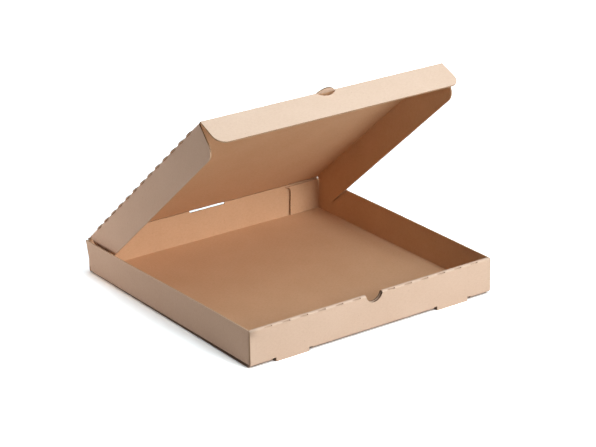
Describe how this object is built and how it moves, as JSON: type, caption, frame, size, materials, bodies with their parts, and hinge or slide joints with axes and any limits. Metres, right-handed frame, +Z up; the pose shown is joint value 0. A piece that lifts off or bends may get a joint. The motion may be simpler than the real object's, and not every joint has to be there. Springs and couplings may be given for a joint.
{
  "type": "pizza box",
  "caption": "Square pizza box folded from kraft corrugated board, its lid raised on the back crease, with tuck-in lid flaps, a rolled front wall, a thumb notch and small front feet.",
  "frame": {"origin": "on the table plane through the feet, under the middle of the square tray", "axes": "+Z up, the rolled front wall faces -Y, the hinge crease of the lid is at +Y"},
  "size_m": [0.33, 0.33, 0.2584],
  "materials": {
    "kraft_board": "matte natural kraft liner with fine fibres, thin corrugated board"
  },
  "bodies": {
    "tray": {"tray": "kraft_board"},
    "lid": {"lid": "kraft_board"},
    "lid_front_flap": {"lid_front_flap": "kraft_board"}
  },
  "joints": [
    {"name": "lid_hinge", "type": "hinge", "parent": "tray", "child": "lid", "pos_m": [0, 0.1642, 0.0451], "axis": [-1, 0, 0], "range_deg": [-40.5, 139.5]},
    {"name": "front_flap_fold", "type": "hinge", "parent": "lid", "child": "lid_front_flap", "pos_m": [0, -0.07837, 0.25227], "axis": [1, 0, 0], "range_deg": [-96.45, 28.01]}
  ],
  "couplings": [
    {"joint": "front_flap_fold", "follows": "lid_hinge", "ratio": -0.69136}
  ]
}
